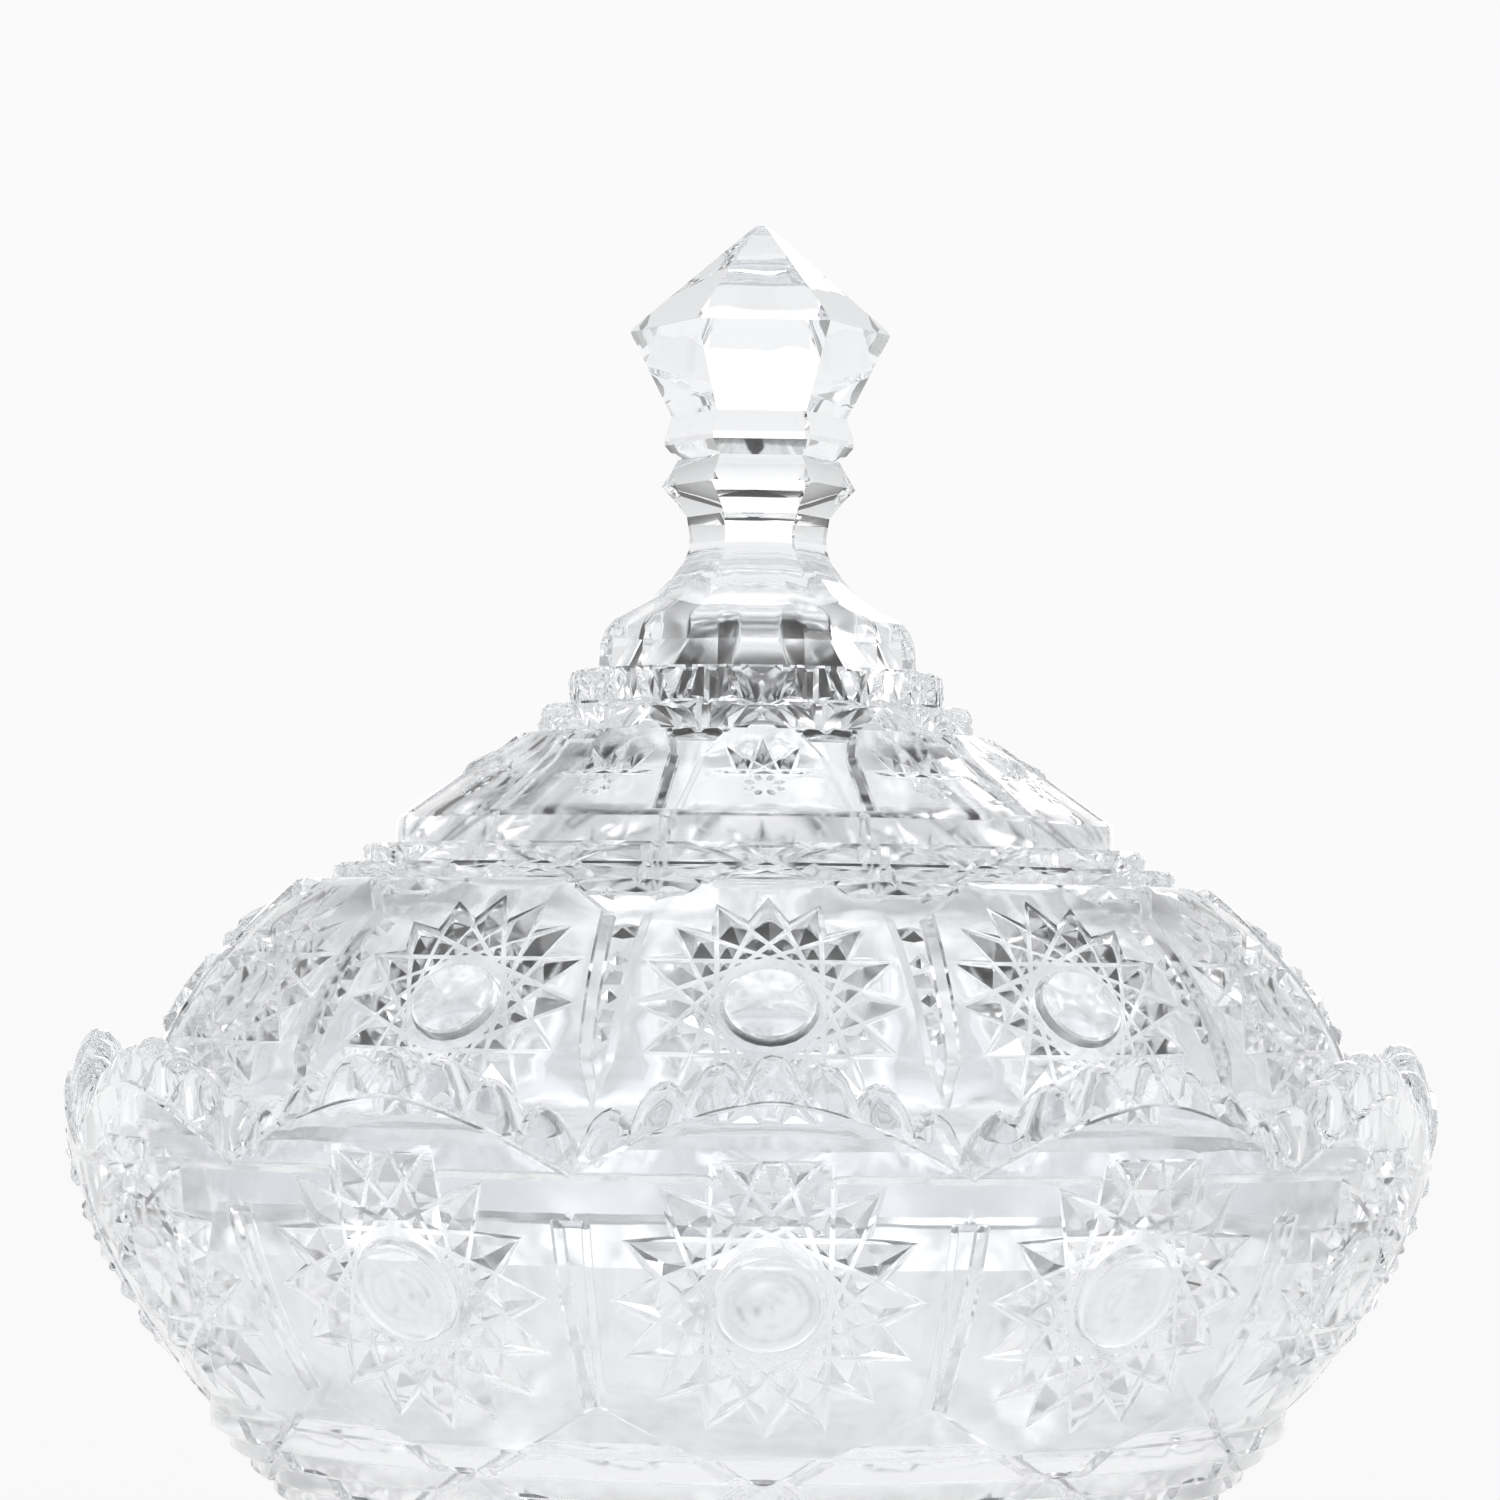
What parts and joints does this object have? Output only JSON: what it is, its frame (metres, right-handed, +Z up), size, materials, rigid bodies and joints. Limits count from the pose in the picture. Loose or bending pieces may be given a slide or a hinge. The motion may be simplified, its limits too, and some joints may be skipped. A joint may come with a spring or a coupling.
{
  "type": "powder jar",
  "caption": "Round covered jar of clear pressed glass with star-cut panels, a scalloped toothed rim and a domed lid with a faceted knob.",
  "frame": {"origin": "centre of the foot, on the plane the jar stands on", "axes": "+Z up along the jar's axis, towards the knob; -Y towards the middle of the front panel"},
  "size_m": [0.15, 0.15, 0.158],
  "materials": {
    "bowl_glass": "gloss",
    "lid_glass": "gloss"
  },
  "bodies": {
    "bowl": {"bowl": "bowl_glass"},
    "lid": {"lid": "lid_glass"}
  },
  "joints": [
    {"name": "lid_lift", "type": "slide", "parent": "bowl", "child": "lid", "axis": [0, 0, 1], "range_m": [0, 0.1]}
  ]
}
